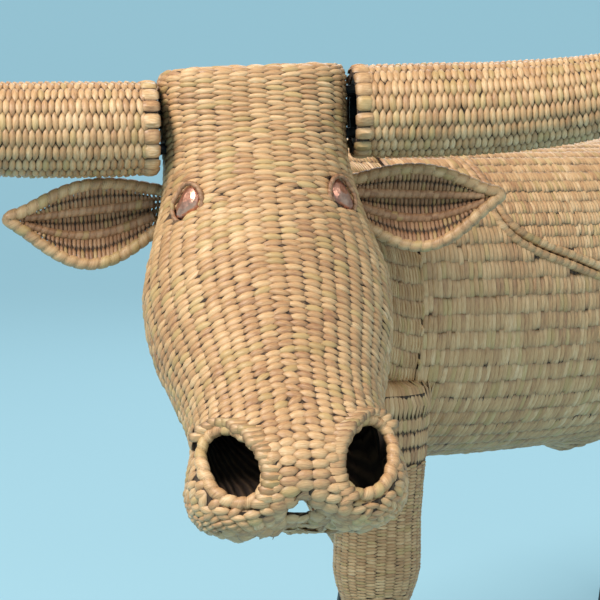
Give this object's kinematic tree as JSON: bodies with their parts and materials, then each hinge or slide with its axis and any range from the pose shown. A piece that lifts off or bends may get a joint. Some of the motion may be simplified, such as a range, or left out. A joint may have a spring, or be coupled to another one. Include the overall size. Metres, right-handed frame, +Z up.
{
  "type": "woven bull figure",
  "caption": "Woven rush longhorn bull on an iron frame, head turned to its left, with a hinged back lid, pull-off horns, copper eyes and iron hooves.",
  "frame": {"origin": "middle of the box that the bull fills, on the floor", "axes": "+Z up, the body faces -Y, the bull's left side is +X, and the head is turned towards +X"},
  "size_m": [0.7552, 1.7915, 1.0443],
  "materials": {
    "woven_rush": "dry split rush strands, satin, tan with paler and browner strands",
    "rush_wrapping": "flat rush strips wound and laced over bundles, satin",
    "black_iron": "blackened, satin",
    "copper": "hammered copper sheet, lightly tarnished"
  },
  "bodies": {
    "bull": {"body_tub": "woven_rush", "ear_leaf_left": "rush_wrapping", "ear_leaf_right": "rush_wrapping", "ear_rim_left": "rush_wrapping", "ear_rim_right": "rush_wrapping", "eye_left": "copper", "eye_right": "copper", "head_shell": "woven_rush", "hinge_front_pin": "black_iron", "hinge_front_tub_leaf": "black_iron", "hinge_rear_pin": "black_iron", "hinge_rear_tub_leaf": "black_iron", "hoof_front_left": "black_iron", "hoof_front_right": "black_iron", "hoof_hind_left": "black_iron", "hoof_hind_right": "black_iron", "horn_fork_left": "black_iron", "horn_fork_right": "black_iron", "keel_rod": "black_iron", "leg_rod_front_left": "black_iron", "leg_rod_front_right": "black_iron", "leg_rod_hind_left": "black_iron", "leg_rod_hind_right": "black_iron", "leg_sleeve_front_left": "woven_rush", "leg_sleeve_front_right": "woven_rush", "leg_sleeve_hind_left": "woven_rush", "leg_sleeve_hind_right": "woven_rush", "neck_rod": "black_iron", "neck_sleeve": "woven_rush", "nose_bar": "black_iron", "nostril_rim_left": "rush_wrapping", "nostril_rim_right": "rush_wrapping", "rib_front": "black_iron", "rib_middle": "black_iron", "rib_rear": "black_iron", "tail": "rush_wrapping", "tail_tuft": "rush_wrapping", "tub_edge_hoop": "black_iron"},
    "lid": {"back_lid": "woven_rush", "lid_edge_hoop": "black_iron", "hinge_front_lid_leaf": "black_iron", "hinge_rear_lid_leaf": "black_iron"},
    "horn_left": {"horn_sleeve_left": "woven_rush", "horn_ring_left": "black_iron"},
    "horn_right": {"horn_sleeve_right": "woven_rush", "horn_ring_right": "black_iron"}
  },
  "joints": [
    {"name": "lid_swing", "type": "hinge", "parent": "bull", "child": "lid", "pos_m": [-0.3739, 0.5103, 0.575], "axis": [0, -1, 0], "range_deg": [0, 100]},
    {"name": "horn_left_pull", "type": "slide", "parent": "bull", "child": "horn_left", "axis": [0.5368, 0.8426, 0.0436], "range_m": [0, 0.12]},
    {"name": "horn_right_pull", "type": "slide", "parent": "bull", "child": "horn_right", "axis": [-0.5368, -0.8426, -0.0436], "range_m": [0, 0.12]}
  ]
}
